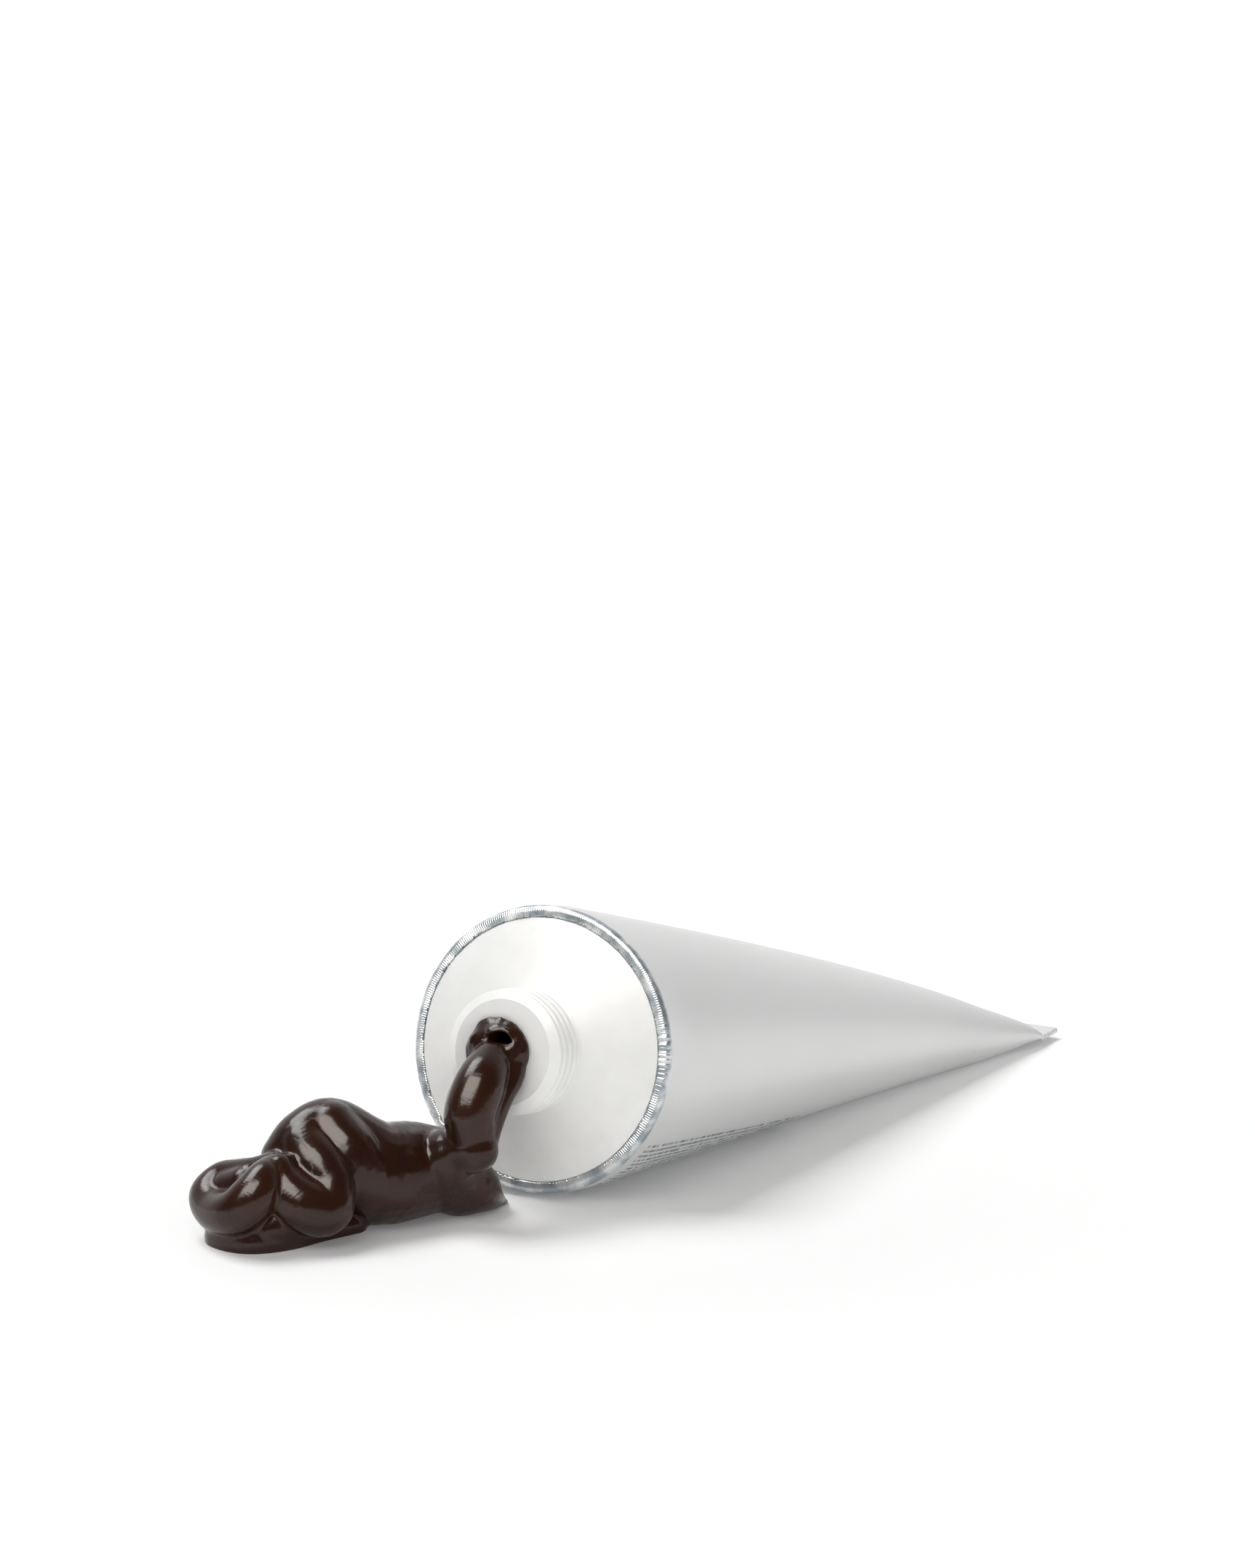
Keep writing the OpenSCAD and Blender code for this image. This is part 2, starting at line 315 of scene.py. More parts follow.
def on_sheet(u, s, inset=0.0, thinnest=WALL):
    """The sheet's point at u behind the lip and s round the girth, drawn in by inset."""
    height = max((back_line(u) - belly_line(u)) / 2, thinnest)
    middle = (back_line(u) + belly_line(u)) / 2
    flat = math.pi / 2 * (SLEEVE_R - height)
    corner = max(height - inset, 0.0)
    half = GIRTH / 2
    turn = s % GIRTH
    side, rest = (1, turn) if turn < half else (-1, turn - half)
    arc = math.pi * height / 2
    if rest < arc:
        y, z = flat + corner * math.cos(rest / height), corner * math.sin(rest / height)
    elif rest < arc + 2 * flat:
        y, z = flat - (rest - arc), corner
    else:
        last = (rest - arc - 2 * flat) / height
        y, z = -flat - corner * math.sin(last), corner * math.cos(last)
    return y * side, max(middle + z * side, floor_line(u) + inset)


mouth = lying(-mouth_h, 0, 0)
print("tilt", round(math.degrees(tilt), 2), "mouth at", tuple(round(c, 5) for c in mouth))


# %% [markdown]
# ## Rolling a sheet into a closed ring
# Each skin starts as a flat grid, the way the laminate does. One side of the grid runs round
# the girth and the other along the tube. Every point is then carried to its place, and the
# doubled points where the sheet meets itself are merged. The grid's own UV map stays on it,
# in units of 100 mm, so a print or a seam in the material follows the sheet.

# %% Rolled grid
UV_UNIT = 100.0
DOUBLE_DIST = 2e-6
NO_LENGTH = 1e-7


def rolled(shape, rows, columns, place):
    """A grid of len(rows) by columns whose points are set by place(row, s).

    Each row is a tuple that starts with its u, and s is the length round the girth.
    """
    uv_layer = shape.loops.layers.uv.get("UVMap") or shape.loops.layers.uv.new("UVMap")
    made = bmesh.ops.create_grid(shape, x_segments=len(rows) - 1, y_segments=columns,
                                 size=0.5)["verts"]
    faces = {face for vert in made for face in vert.link_faces}
    spot = {}
    for vert in made:
        row = round((vert.co.x + 0.5) * (len(rows) - 1))
        s = (vert.co.y + 0.5) * GIRTH
        spot[vert] = (rows[row][0], s)
        vert.co = place(rows[row], s)
    for face in faces:
        for loop in face.loops:
            u, s = spot[loop.vert]
            loop[uv_layer].uv = (s / UV_UNIT, u / UV_UNIT)
    return made


def finished(name, shape, materials):
    """Merge doubles, close the normals outwards, and make the object."""
    bmesh.ops.remove_doubles(shape, verts=shape.verts, dist=DOUBLE_DIST)
    bmesh.ops.dissolve_degenerate(shape, edges=shape.edges, dist=NO_LENGTH)
    bmesh.ops.recalc_face_normals(shape, faces=shape.faces)
    mesh = bpy.data.meshes.new(name)
    for face in shape.faces:
        face.smooth = True
    shape.to_mesh(mesh)
    open_edges = sum(1 for edge in shape.edges if len(edge.link_faces) != 2)
    volume = shape.calc_volume() / ML
    shape.free()
    piece = bpy.data.objects.new(name, mesh)
    bpy.context.collection.objects.link(piece)
    for material in materials:
        mesh.materials.append(material)
    print(name, "has", len(mesh.polygons), "faces,", open_edges, "open edges,",
          round(volume, 2), "ml")
    return piece


# %% [markdown]
# ## Sleeve
# The outside is a grid of fine rows. At the shoulder the laminate is folded in over the rim,
# and because the sheet has to shrink there it gathers into hundreds of fine radial pleats,
# about a third of a millimetre apart. They could be a bump in the material, but they catch
# the light and break the edge, so they are modelled: the first rows have three times as many
# columns, and each pleat is four of them. The pleats are messy where the lap weld of the side
# seam ends, weak low down where the tube rests, and their inner edge is a little frayed. At
# the tail the two walls are pressed together with ribs across.

# %% Sleeve skin
COLUMNS = 480
LIP_COLUMNS = 1440
PLEATS = 360
PLEAT_HEIGHT = 0.13
LIP_FRAY = 0.35
LIP_STEPS = 6
LIP_END = 1.9
LAP_AT = GIRTH * 0.482
LAP_WIDTH = 3.4
STRAIGHT_STEPS = 44
RISE_STEPS = 22
STEPS_PER_RIB = 8
INNER_STEPS = 12
INNER_RISE_STEPS = 8
HOLLOW_STOP = 1.5


def pleat(s, reach):
    """How far a pleat stands out at s, with reach from 0 at the sleeve to 1 on the face."""
    # Uneven spacing, then uneven height in patches a few millimetres long
    drift = noise.noise(Vector((s * 0.35, 3.1, 0))) * 1.1
    phase = s / GIRTH * PLEATS * 2 * math.pi + drift * 2.2
    wave = 0.5 + 0.5 * math.sin(phase)
    patch = 0.62 + 0.55 * noise.noise(Vector((s * 0.16, 7.7, 0)))
    # Weaker pleats low down, a crumple at the lap, and shallow dents everywhere else
    below = max(0.0, -math.sin(2 * math.pi * s / GIRTH))
    patch *= 1 - 0.75 * below ** 2
    near_lap = math.exp(-((s - LAP_AT) / LAP_WIDTH) ** 2)
    mess = near_lap * noise.noise(Vector((s * 2.3, reach * 2.0, 1.3))) * 2.4
    dent = noise.noise(Vector((s * 0.55, reach * 1.5, 4.4))) * 0.8
    return reach * PLEAT_HEIGHT * (max(patch, 0.05) * wave + mess + dent * (1 - below ** 2))


def lip_rows():
    """Path of the fold as (u, inset, pleat reach), from inside over the lip to the sleeve."""
    rows = [(WALL, WALL, 0.0), (WALL, LIP_WIDTH * 0.75, 0.0), (WALL, LIP_WIDTH, 0.4),
            (WALL / 2, LIP_WIDTH + 0.04, 0.7)]
    rows += [(0.0, LIP_WIDTH - 0.08 * k, 1.0) for k in (0, 3, 6)]
    for k in range(LIP_STEPS + 1):
        a = math.radians(90 * k / LIP_STEPS)
        rows.append((LIP_BEND * (1 - math.cos(a)), LIP_BEND * (1 - math.sin(a)),
                     1.0 - 0.35 * k / LIP_STEPS))
    rows += [(1.1, 0.0, 0.35), (1.5, 0.0, 0.12), (LIP_END, 0.0, 0.0)]
    return rows


def on_lip(row, s):
    """The fold's point at s: pleats stand forwards on its face and outwards on its side."""
    u, inset, reach = row
    out = pleat(s, reach)
    facing = u <= LIP_BEND / 2
    if inset > LIP_BEND:
        frayed = (noise.noise(Vector((s * 0.8, 5.5, 2.2)))
                  + noise.noise(Vector((s * 2.9, 1.5, 6.2))))
        inset -= LIP_FRAY * max(0.0, frayed) * (inset - LIP_BEND) / (LIP_WIDTH - LIP_BEND)
    y, z = on_sheet(u, s, inset - (0 if facing else out * 0.5))
    return lying(u - (out if facing else 0), y, z)


def straight_rows(steps):
    """Rows of the straight belly, from its bend to the start of the rise."""
    return [(straight_u + (rise_start - straight_u) * k / steps, 0.0) for k in range(steps + 1)]


def body_rows():
    """Rows of the outside from the fold to the seal, closer together towards the seal."""
    rows = [(LIP_END, 0.0), (2.5, 0.0), (round_len, 0.0), (round_len + BELLY_BEND / 2, 0.0)]
    rows += straight_rows(STRAIGHT_STEPS)
    rows += [(SLEEVE_LEN - rise_run * (1 - k / RISE_STEPS) ** 2, 0.0)
             for k in range(1, RISE_STEPS + 1)]
    return rows


def seal_rows():
    """Rows of the seal as (u, inset), with a soft groove between its ribs."""
    rows = []
    for k in range(1, int(SEAL_LEN / RIB_PITCH) * STEPS_PER_RIB + 1):
        pressed = RIB_DEPTH * (0.5 - 0.5 * math.cos(2 * math.pi * k / STEPS_PER_RIB))
        rows.append((SLEEVE_LEN + RIB_PITCH * k / STEPS_PER_RIB, pressed))
    return rows


shape = bmesh.new()
made = rolled(shape, lip_rows(), LIP_COLUMNS, on_lip)
# The fold's last row moves onto the coarser columns, so that the two grids share their points
step = GIRTH / COLUMNS
uv_layer = shape.loops.layers.uv.get("UVMap")
for vert in made:
    for loop in vert.link_loops:
        u, s = loop[uv_layer].uv.y * UV_UNIT, loop[uv_layer].uv.x * UV_UNIT
        if abs(u - LIP_END) < 1e-6:
            s = round(s / step) * step
            vert.co = lying(u, *on_sheet(u, s))
            break
rolled(shape, body_rows() + seal_rows(), COLUMNS,
       lambda row, s: lying(row[0], *on_sheet(row[0], s, row[1])))

inner = [(WALL, 0.0), (round_len, 0.0)] + straight_rows(INNER_STEPS)
inner_end = SLEEVE_LEN - HOLLOW_STOP
inner += [(inner_end - (inner_end - rise_start) * (1 - k / INNER_RISE_STEPS) ** 2, 0.0)
          for k in range(1, INNER_RISE_STEPS + 1)]
rolled(shape, inner, COLUMNS, lambda row, s: lying(row[0], *on_sheet(row[0], s, WALL)))
print("sleeve rows", len(lip_rows()), len(body_rows()) + len(seal_rows()), len(inner))

# %% [markdown]
# The fold and the inner wall join where their doubled points are merged. The hollow and the
# seal are still open at their far ends, and so are the gaps between the fold's fine first row
# and the coarser wall. These loops of open edges are closed with a fill.

# %% Close the sleeve
bmesh.ops.remove_doubles(shape, verts=shape.verts, dist=DOUBLE_DIST)
open_edges = [edge for edge in shape.edges if len(edge.link_faces) == 1]
print("open edges before closing", len(open_edges))
bmesh.ops.holes_fill(shape, edges=open_edges, sides=0)
sleeve = finished("sleeve_skin", shape, [])
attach(sleeve, BODY)
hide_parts("tube_sleeve")

# %% [markdown]
# ## Finish of the sleeve
# The outside is a printed plastic laminate with a satin varnish over a silver foil: pale grey,
# softly reflective, with a faint grain from the printing. A rough varnish over a slightly
# metallic base gives that. The varnish ends at the fold, where the foil shows through and
# glints. A block of fine print stands low on the near side, drawn as rows of plain dashes.
# All its limits are given in millimetres, round the girth or along the tube.

# %% Satin laminate
VARNISH_FROM, VARNISH_TO = 0.8, 1.3
PRINT_PITCH = 0.95
PRINT_FROM, PRINT_TO = 75.0, 90.0
PRINT_START, PRINT_END = 3.5, 47.0
ROW_SHARE = 0.52
DASHES_PER_MM = 2.3
DASH_FROM = 0.47
ROW_SHIFT = 3.7
INK_COVER = 0.8
laminate, tree = new_material("satin_silver_laminate")
sheet = add(tree, "ShaderNodeUVMap", uv_map="UVMap")
split = add(tree, "ShaderNodeSeparateXYZ", {"Vector": sheet.outputs["UV"]})
place = add(tree, "ShaderNodeTexCoord")
grain = add(tree, "ShaderNodeTexNoise", {"Vector": place.outputs["Object"], "Scale": 900.0,
                                         "Detail": 3.0, "Roughness": 0.6})
cloud = add(tree, "ShaderNodeTexNoise", {"Vector": place.outputs["Object"], "Scale": 22.0,
                                         "Detail": 2.0})
fold = add(tree, "ShaderNodeMapRange", {"Value": split.outputs["Y"],
                                        "From Min": VARNISH_FROM / UV_UNIT,
                                        "From Max": VARNISH_TO / UV_UNIT},
           interpolation_type="SMOOTHSTEP")
tone = add(tree, "ShaderNodeValToRGB", {"Fac": cloud.outputs["Fac"]},
           stops=[(0.35, linear("#dcdddc")), (0.65, linear("#e2e3e2"))])
worn = add(tree, "ShaderNodeTexNoise", {"Vector": place.outputs["Object"], "Scale": 420.0,
                                        "Detail": 2.0})
bared = add(tree, "ShaderNodeValToRGB", {"Fac": worn.outputs["Fac"]},
            stops=[(0.4, linear("#9fa8ae")), (0.62, linear("#dfe2e3"))])
foil = add(tree, "ShaderNodeMix", {"Factor": fold.outputs["Result"],
                                   "A": bared.outputs["Color"], "B": tone.outputs["Color"]},
           data_type="RGBA")
# Rows of print: rows round the girth, broken into dashes along the tube
rows = add(tree, "ShaderNodeMath", {0: split.outputs["X"], 1: UV_UNIT / PRINT_PITCH},
           operation="MULTIPLY")
row = add(tree, "ShaderNodeMath", {0: rows.outputs["Value"]}, operation="FLOOR")
in_row = add(tree, "ShaderNodeMath", {0: rows.outputs["Value"]}, operation="FRACT")
inked = add(tree, "ShaderNodeMath", {0: in_row.outputs["Value"], 1: ROW_SHARE},
            operation="LESS_THAN")
letters = add(tree, "ShaderNodeCombineXYZ", {
    "X": add(tree, "ShaderNodeMath", {0: split.outputs["Y"], 1: UV_UNIT * DASHES_PER_MM},
             operation="MULTIPLY").outputs["Value"],
    "Y": add(tree, "ShaderNodeMath", {0: row.outputs["Value"], 1: ROW_SHIFT},
             operation="MULTIPLY").outputs["Value"]})
dashes = add(tree, "ShaderNodeTexNoise", {"Vector": letters.outputs["Vector"], "Scale": 1.0,
                                          "Detail": 1.0})
dashed = add(tree, "ShaderNodeMath", {0: dashes.outputs["Fac"], 1: DASH_FROM},
             operation="GREATER_THAN")
ink = inked.outputs["Value"]
for limit in (dashed.outputs["Value"],
              add(tree, "ShaderNodeMath", {0: split.outputs["X"], 1: PRINT_FROM / UV_UNIT},
                  operation="GREATER_THAN").outputs["Value"],
              add(tree, "ShaderNodeMath", {0: split.outputs["X"], 1: PRINT_TO / UV_UNIT},
                  operation="LESS_THAN").outputs["Value"],
              add(tree, "ShaderNodeMath", {0: split.outputs["Y"], 1: PRINT_START / UV_UNIT},
                  operation="GREATER_THAN").outputs["Value"],
              add(tree, "ShaderNodeMath", {0: split.outputs["Y"], 1: PRINT_END / UV_UNIT},
                  operation="LESS_THAN").outputs["Value"]):
    ink = add(tree, "ShaderNodeMath", {0: ink, 1: limit},
              operation="MULTIPLY").outputs["Value"]
ink = add(tree, "ShaderNodeMath", {0: ink, 1: INK_COVER},
          operation="MULTIPLY").outputs["Value"]
printed = add(tree, "ShaderNodeMix", {"Factor": ink, "A": foil.outputs["Result"],
                                      "B": linear("#4c525a")}, data_type="RGBA")
metal = add(tree, "ShaderNodeMapRange", {"Value": fold.outputs["Result"], "To Min": 0.6,
                                         "To Max": 0.35})
rough = add(tree, "ShaderNodeMapRange", {"Value": fold.outputs["Result"], "To Min": 0.3,
                                         "To Max": 0.38})
dents = add(tree, "ShaderNodeBump", {"Height": grain.outputs["Fac"], "Strength": 0.06,
                                     "Distance": 0.0002})
skin = add(tree, "ShaderNodeBsdfPrincipled",
           {"Base Color": printed.outputs["Result"], "Metallic": metal.outputs["Result"],
            "Roughness": rough.outputs["Result"], "Normal": dents.outputs["Normal"]})
add(tree, "ShaderNodeOutputMaterial", {"Surface": skin.outputs["BSDF"]})
sleeve.data.materials.append(laminate)

# %% [markdown]
# ## Shoulder
# The shoulder, the neck and its thread are one white polyethylene moulding, a little
# translucent and satin, with the faint mottle of a moulded surface. Its solid already has the
# cone, the beads and the face of the neck, so it stays and only gets its finish.

# %% White polyethylene
polyethylene, tree = new_material("moulded_white_polyethylene")
place = add(tree, "ShaderNodeTexCoord")
mottle = add(tree, "ShaderNodeTexNoise", {"Vector": place.outputs["Object"], "Scale": 260.0,
                                          "Detail": 3.0})
white = add(tree, "ShaderNodeValToRGB", {"Fac": mottle.outputs["Fac"]},
            stops=[(0.3, linear("#f3f3f1")), (0.7, linear("#f8f8f6"))])
skin_bump = add(tree, "ShaderNodeBump", {"Height": mottle.outputs["Fac"], "Strength": 0.08,
                                         "Distance": 0.0002})
plastic = add(tree, "ShaderNodeBsdfPrincipled",
              {"Base Color": white.outputs["Color"], "Roughness": 0.38, "IOR": 1.51,
               "Subsurface Weight": 0.15, "Subsurface Radius": (0.001, 0.001, 0.001),
               "Subsurface Scale": 1.0, "Normal": skin_bump.outputs["Normal"]})
add(tree, "ShaderNodeOutputMaterial", {"Surface": plastic.outputs["BSDF"]})
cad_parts["shoulder"].data.materials.clear()
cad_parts["shoulder"].data.materials.append(polyethylene)

# %% [markdown]
# ## Thread
# Three turns of a rounded ridge run round the neck, one and a half millimetres apart, for a
# screw cap. The solid's neck is the root of the thread. The ridge is one small profile that is
# spun round the neck while it moves along it, which is what a thread is. Its ends run out
# into the neck, as the mould's cutter leaves them.

# %% Thread ridge
THREAD_PITCH = 1.5
THREAD_TURNS = 3.0
THREAD_HEIGHT = 0.75
THREAD_STEPS = 96
ROOT_DEPTH = 0.12
RUN_OUT = 0.08
thread_start = -CONE_RISE - 0.95

shape = bmesh.new()
# The ridge's profile, along the neck and out from it
profile = [(0.62, -ROOT_DEPTH), (0.34, 0.42), (0.16, THREAD_HEIGHT), (-0.16, THREAD_HEIGHT),
           (-0.34, 0.42), (-0.62, -ROOT_DEPTH)]
ridge = [shape.verts.new((along, NECK_R + out, 0)) for along, out in profile]
ridge_edges = [shape.edges.new((ridge[k], ridge[k - 1])) for k in range(len(ridge))]
steps = int(THREAD_STEPS * THREAD_TURNS)
bmesh.ops.spin(shape, geom=ridge + ridge_edges, cent=(0, 0, 0), axis=(1, 0, 0),
               dvec=(-THREAD_PITCH / THREAD_STEPS, 0, 0), angle=2 * math.pi * THREAD_TURNS,
               steps=steps, use_merge=False)
shape.verts.ensure_lookup_table()
for vert in shape.verts:
    done = (vert.index // len(profile)) / steps
    fade = min(1.0, done / RUN_OUT, (1 - done) / RUN_OUT)
    reach = math.hypot(vert.co.y, vert.co.z)
    new_reach = NECK_R - ROOT_DEPTH + (reach - NECK_R + ROOT_DEPTH) * fade
    y, z = vert.co.y / reach * new_reach, vert.co.z / reach * new_reach
    vert.co = lying(thread_start + vert.co.x, y, z)
open_edges = [edge for edge in shape.edges if len(edge.link_faces) == 1]
bmesh.ops.holes_fill(shape, edges=open_edges, sides=0)
thread = finished("neck_thread", shape, [polyethylene])
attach(thread, BODY)

# %% [markdown]
# ## Cream
# The cream is a soft paste that keeps its form: it left the outlet as a round strand, fell,
# and folded over itself like rope. Cloth or fluid simulation could fold it, but would not fold
# it as it lies here. So each fold is laid as a rope of a few points, each with its own
# thickness. A smooth line is drawn through them and strung with balls, and later a voxel
# remesh melts all the balls into one skin, the way the folds of a paste run together. The
# points lie close to those of the solid.
#
# From the landing below the outlet the rope runs along a thick barrel and up over an arch to
# two loops side by side. A wide foot lies below them.

# %% Ropes of cream
# Each point: its way from the neck's face, negative in front of it, then to the side, its
# height and its radius
LANDING = [(-8.5, -0.5, 10.9, 3.2), (-8.4, 2.2, 10.2, 3.4), (-7.5, 4.8, 8.3, 4.6),
           (-4.4, 5.2, 5, 5.1), (-2.6, 3.0, 3.6, 3.6), (-0.6, 2.0, 2.0, 2.1),
           (1.8, 1.5, 0.8, 0.9), (3.6, 1.4, 0.1, 0.35)]
BARREL = [(-4.5, 8.2, 6, 5.9), (-9.2, 10.3, 6.7, 6.9), (-13.0, 12.1, 7.2, 6.9),
          (-14.2, 13.8, 10.3, 5.0), (-17, 17.3, 13.8, 4.2), (-20.3, 19.4, 12.8, 4.1),
          (-22.3, 20.9, 10.3, 3.8)]
ARCH_LEFT = [(-18.7, 18.3, 13.5, 4.0), (-21.3, 18.6, 12.0, 4.2), (-22.9, 16.0, 10.5, 3.8),
             (-23.4, 13.6, 8.3, 3.4)]
ARCH_RIGHT = [(-18.0, 16.7, 13.9, 4.1), (-18.6, 13.7, 11.2, 4.3), (-17.3, 12.3, 8.0, 4.7),
              (-13.8, 12.3, 5.2, 5.2)]
RIGHT_LOOP = [(-23.4, 13.6, 8.3, 3.4), (-25.2, 13.4, 5.3, 3.9), (-27.5, 15.9, 6.2, 3.9),
              (-28.0, 18.2, 8.7, 3.0), (-27.9, 18.9, 10.6, 2.2), (-26.5, 18.4, 10.5, 1.8),
              (-25.1, 17.5, 9.3, 1.7), (-23.9, 16.7, 8.0, 1.5)]
LEFT_LOOP = [(-26.6, 20.6, 10.5, 2.0), (-27.2, 22.9, 9.5, 2.1), (-27, 25.6, 8.8, 2.1),
             (-26.8, 28.6, 7.6, 2.4), (-28.9, 29.4, 5.7, 2.8), (-31.2, 26.7, 4.5, 3.0),
             (-32.8, 22.7, 5.4, 3.3), (-32.2, 20.4, 7.7, 3.2), (-30.5, 19.9, 9.6, 2.6),
             (-28.8, 19.9, 10.5, 2.0)]
IN_LEFT_LOOP = [(-28.0, 26.4, 6.9, 2.8), (-28.6, 23.9, 8.0, 2.6)]
BETWEEN_LOOPS = [(-27.5, 20.5, 4.5, 3.0), (-27.5, 19.5, 6.0, 3.0)]
FOOT = [(-28.5, 27.2, 0.8, 2.8), (-30.5, 25.4, 0.8, 3.1), (-31, 21.6, 1.1, 3.2),
        (-28, 18.6, 1.2, 3.0), (-23, 16.7, 1.1, 2.8), (-17.5, 14.3, 0.8, 2.6)]
FOOT_TOP = [(-30.7, 24.1, 1.1, 1.8), (-31.1, 21.0, 2.2, 2.3), (-29.8, 18.9, 3.0, 2.4),
            (-27.1, 17.6, 1.9, 2.6)]
FIRST_FOLDS = [(-5.5, 8.5, 4.5, 4.6), (-9, 12.5, 5, 5), (-13, 17, 5.5, 5.5),
               (-18, 21.5, 5, 5), (-23, 25, 4, 4)]
# Strands: the third value runs from 0 at the top of the landing to 1 at the outlet
MAIN_STRAND = [(-1.2, 0.3, 1.0, 2.4), (-3.1, 0.2, 0.91, 3.0), (-6.4, 0.0, 0.73, 3.6),
               (-8.5, 0.3, 0.44, 3.65), (-8.3, 0.2, 0.2, 3.4)]
SIDE_STRAND = [(-0.4, -2.0, 0.95, 1.9), (-1.9, -2.5, 0.77, 1.8), (-4.3, -2.3, 0.55, 1.6),
               (-6.2, -1.8, 0.3, 1.7), (-7.0, -0.8, 0.08, 2.2)]
LANDING_TOP = 11.0
LINE_STEPS = 24
BALL_SPACING = 0.15  # in radii
FINE_BALL_FROM = 1.5
mouth_mm = mouth / MM


def hung(strand):
    """A strand between the landing and the outlet, its third value turned into a height."""
    return [(x, y, LANDING_TOP + (mouth_mm.z - LANDING_TOP) * z, r) for x, y, z, r in strand]


def in_room(points):
    """The points of a rope as four-part vectors in the room, still in millimetres."""
    return [Vector((x + mouth_mm.x, y, z, r)) for x, y, z, r in points]


def drawn_through(rope):
    """Points of one smooth curve through the rope's points, each with its radius."""
    rope = [rope[0] * 2 - rope[1]] + rope + [rope[-1] * 2 - rope[-2]]
    line = []
    for k in range(1, len(rope) - 2):
        a, b, c, d = rope[k - 1:k + 3]
        for j in range(LINE_STEPS):
            t = j / LINE_STEPS
            line.append(0.5 * (2 * b + (c - a) * t + (2 * a - 5 * b + 4 * c - d) * t * t
                               + (3 * b - a - 3 * c + d) * t ** 3))
    line.append(rope[-2])
    return line


def chain_of_balls(line):
    """One rope as balls that lie closer together than the eye can tell from a rope."""
    shape = bmesh.new()
    last = None
    for spot in line:
        at = Vector(spot[:3])
        if last is None or (at - last).length > BALL_SPACING * spot[3] or spot is line[-1]:
            bmesh.ops.create_icosphere(shape, subdivisions=3 if spot[3] > FINE_BALL_FROM else 2,
                                       radius=spot[3] * MM, matrix=Matrix.Translation(at * MM))
            last = at
    mesh = bpy.data.meshes.new("cream_chain")
    shape.to_mesh(mesh)
    shape.free()
    return mesh


runs = [in_room(run) for run in (LANDING, BARREL, ARCH_LEFT, ARCH_RIGHT, RIGHT_LOOP, LEFT_LOOP,
                                 IN_LEFT_LOOP, BETWEEN_LOOPS, FOOT, FOOT_TOP, FIRST_FOLDS,
                                 hung(MAIN_STRAND), hung(SIDE_STRAND))]
lines = [drawn_through(run) for run in runs]
print("ropes", len(lines), "points", sum(len(line) for line in lines))

# %% [markdown]
# ## Collar round the outlet
# Cream has been smeared round the outlet in torn rings, one over the other, and the strand
# leaves from under a small dark hollow. The rings are closed ropes whose path and thickness
# wander: four thin ones, each a little further out and back, over two thick ones.

# %% Torn rings
# Radius, place along the tube from the neck's face, thickness
COLLAR_RINGS = [(2.7, -2.2, 0.45), (3.35, -1.75, 0.5), (3.95, -1.2, 0.5), (4.4, -0.6, 0.5),
                (3.3, -0.6, 1.1), (4.0, -0.3, 0.7)]
RING_STEPS = 180
RINGS_ASIDE = 0.45


def torn_ring(radius, forward, roll, seed):
    """One ring as a line of points with a thickness, wavy in the large and torn in the small."""
    ring = []
    for k in range(RING_STEPS):
        a = 2 * math.pi * k / RING_STEPS
        wander = noise.noise(Vector((math.cos(a) * 1.7, math.sin(a) * 1.7, seed)))
        torn = noise.noise(Vector((math.cos(a) * 4.2, math.sin(a) * 4.2, seed + 9.0)))
        reach = radius + 0.3 * wander + 0.22 * torn
        spot = lying(-mouth_h + forward - 0.25 * wander - 0.2 * torn,
                     reach * math.cos(a) + RINGS_ASIDE, reach * math.sin(a)) / MM
        thick = roll * (1 + 0.22 * noise.noise(Vector((math.cos(a) * 3, math.sin(a) * 3,
                                                       seed + 5))))
        ring.append(Vector((*spot, thick)))
    return ring


collar = [torn_ring(radius, forward, roll, 2.0 * k)
          for k, (radius, forward, roll) in enumerate(COLLAR_RINGS)]

# %% [markdown]
# ## Melting the ropes into one skin
# Where folds of a paste meet they keep a crease, so the skin is remeshed with voxels much
# finer than a crease. The small hollow above the strand is then cut out with a rounded form,
# a second remesh evens out the edge of the cut, and the whole is smoothed only a little. A
# short plug joins the strand and the rings to the cream in the neck.

# %% One skin
VOXEL = 0.25
PLUG_R, PLUG_LEN, PLUG_BACK = 3.8, 5.0, 2.2
HOLLOW_AT = Vector((-14.9, -0.55, 24.4))
HOLLOW_LONG, HOLLOW_WIDE, HOLLOW_HIGH = 5.0, 1.75, 1.35
HOLLOW_BASE = -0.2
HOLLOW_SLOPE = 1.3


def with_modifiers(name, shape, steps):
    """The mesh of shape after a few modifiers, given as (kind, settings)."""
    mesh = bpy.data.meshes.new(name)
    shape.to_mesh(mesh)
    shape.free()
    piece = bpy.data.objects.new(name, mesh)
    bpy.context.collection.objects.link(piece)
    for kind, settings in steps:
        modifier = piece.modifiers.new(kind.lower(), kind)
        for key, value in settings.items():
            setattr(modifier, key, value)
    bpy.context.view_layer.update()
    result = bpy.data.meshes.new_from_object(
        piece.evaluated_get(bpy.context.evaluated_depsgraph_get()))
    bpy.data.objects.remove(piece)
    return result


shape = bmesh.new()
for line in lines + collar:
    chain = chain_of_balls(line)
    shape.from_mesh(chain)
    bpy.data.meshes.remove(chain)
plug = bmesh.ops.create_cone(shape, cap_ends=True, segments=48, radius1=PLUG_R * MM,
                             radius2=PLUG_R * MM, depth=PLUG_LEN * MM)["verts"]
for vert in plug:
    along, y, z = vert.co.z / MM, vert.co.x / MM, vert.co.y / MM
    vert.co = lying(-mouth_h + PLUG_BACK + along, y, z)

